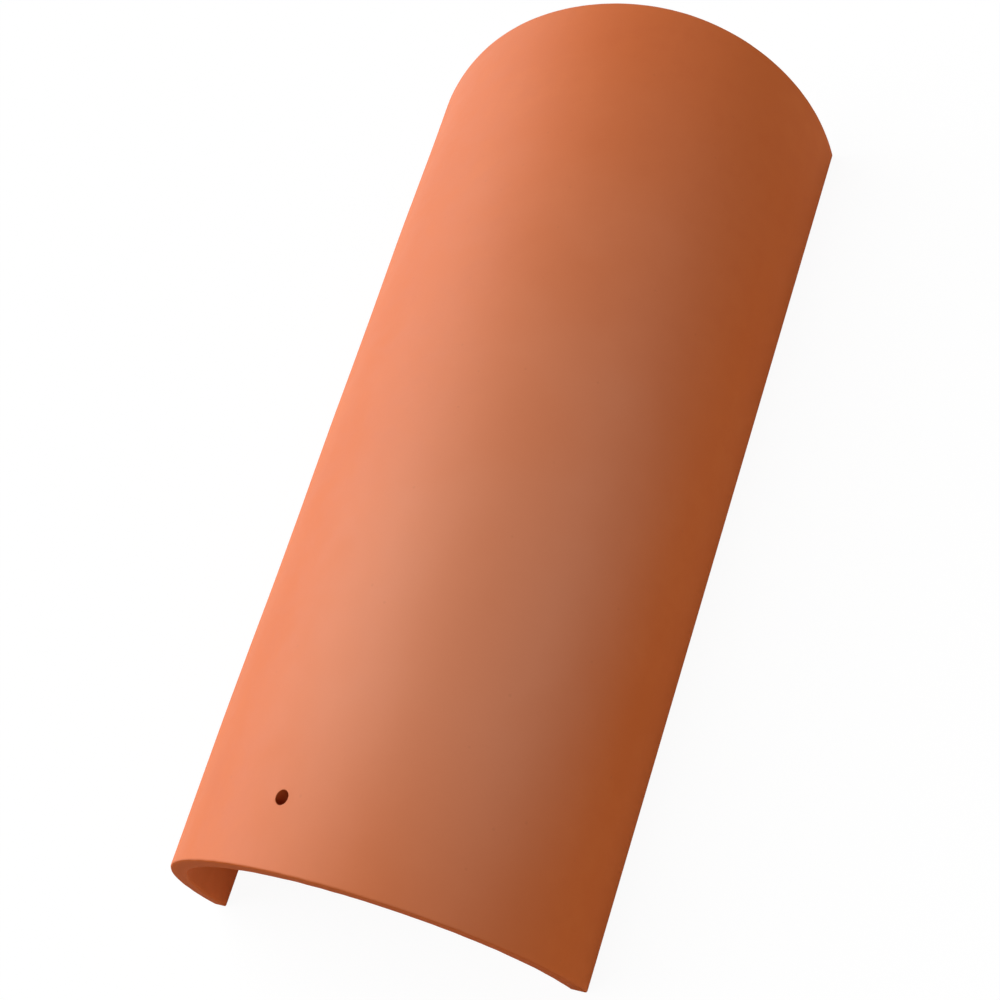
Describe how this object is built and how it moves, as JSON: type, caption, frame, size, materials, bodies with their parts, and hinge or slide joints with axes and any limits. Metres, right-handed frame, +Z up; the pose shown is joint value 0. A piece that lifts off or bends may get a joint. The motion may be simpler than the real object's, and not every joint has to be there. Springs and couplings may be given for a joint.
{
  "type": "clay roof tile",
  "caption": "Tapered half-round barrel tile of fired clay, open underneath, with square-cut ends and a nail hole through the crown near its narrow end.",
  "frame": {"origin": "on the floor, at the middle of the tile's length and width, level with the two feet", "axes": "+X across the tile, +Y along it from the narrow end with the nail hole to the wide end, +Z up through the crown"},
  "size_m": [0.2538, 0.467, 0.1249],
  "materials": {
    "fired_clay": "unglazed, smooth satin terracotta with faint drag lines along the tile"
  },
  "bodies": {
    "root": {"barrel_tile": "fired_clay"}
  },
  "joints": []
}
